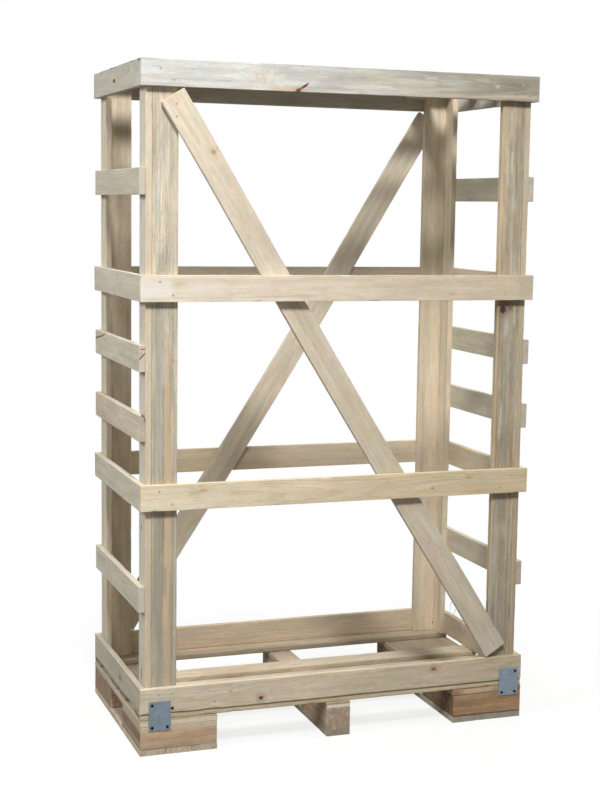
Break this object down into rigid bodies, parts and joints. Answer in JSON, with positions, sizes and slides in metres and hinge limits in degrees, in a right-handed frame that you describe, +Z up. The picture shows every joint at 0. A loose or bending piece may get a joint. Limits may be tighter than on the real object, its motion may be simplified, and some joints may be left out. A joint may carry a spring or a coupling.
{
  "type": "shipping crate",
  "caption": "Tall open timber shipping crate: a block pallet, a nailed cage of boards with side slats and diagonal braces, and a lift-out slatted lid.",
  "frame": {"origin": "centre of the footprint, on the floor", "axes": "+X to the right seen from the front, +Z up; the front face looks along -Y"},
  "size_m": [1.2006, 0.628, 1.9453],
  "materials": {
    "pine_board": "rough sawn, dry",
    "pine_post": "rough sawn, stained grey in streaks",
    "pine_weathered": "rough sawn, weathered grey",
    "pine_pallet": "rough sawn, soiled",
    "pine_block": "sawn heartwood",
    "galvanised_plate": "dull galvanised",
    "black_screw": "black phosphate",
    "nail_steel": "dull, slightly rusted"
  },
  "bodies": {
    "crate": {"block_left_front": "pine_block", "block_left_rear": "pine_block", "block_middle_front": "pine_block", "block_middle_rear": "pine_block", "block_right_front": "pine_block", "block_right_rear": "pine_block", "bottom_board_middle": "pine_pallet", "bottom_boards_left": "pine_pallet", "bottom_boards_right": "pine_pallet", "bottom_rail_front": "pine_board", "bottom_rail_left": "pine_board", "bottom_rail_rear": "pine_board", "bottom_rail_right": "pine_board", "brace_front": "pine_board", "brace_rear": "pine_board", "deck_board_1": "pine_pallet", "deck_board_2": "pine_pallet", "deck_board_3": "pine_pallet", "deck_board_4": "pine_pallet", "frame_nails": "nail_steel", "joining_plates": "galvanised_plate", "lower_belt_front": "pine_board", "lower_belt_left": "pine_board", "lower_belt_rear": "pine_board", "lower_belt_right": "pine_board", "plate_screws": "black_screw", "post_face_board_left_front": "pine_post", "post_face_board_left_rear": "pine_post", "post_face_board_right_front": "pine_post", "post_face_board_right_rear": "pine_post", "post_side_board_left_front": "pine_post", "post_side_board_left_rear": "pine_post", "post_side_board_right_front": "pine_post", "post_side_board_right_rear": "pine_post", "slat_left_1": "pine_board", "slat_left_2": "pine_board", "slat_left_3": "pine_board", "slat_left_4": "pine_board", "slat_right_1": "pine_board", "slat_right_2": "pine_board", "slat_right_3": "pine_board", "slat_right_4": "pine_board", "stringer_left": "pine_pallet", "stringer_middle": "pine_pallet", "stringer_right": "pine_pallet", "top_rail_front": "pine_weathered", "top_rail_left": "pine_weathered", "top_rail_rear": "pine_weathered", "top_rail_right": "pine_weathered", "upper_belt_front": "pine_board", "upper_belt_left": "pine_board", "upper_belt_rear": "pine_board", "upper_belt_right": "pine_board"},
    "lid": {"lid_batten_left": "pine_weathered", "lid_batten_right": "pine_weathered", "lid_board_1": "pine_weathered", "lid_board_2": "pine_weathered", "lid_board_3": "pine_weathered", "lid_board_4": "pine_weathered", "lid_nails": "nail_steel"}
  },
  "joints": [
    {"name": "lid_lift", "type": "slide", "parent": "crate", "child": "lid", "axis": [0, 0, 1], "range_m": [0, 0.3]}
  ]
}
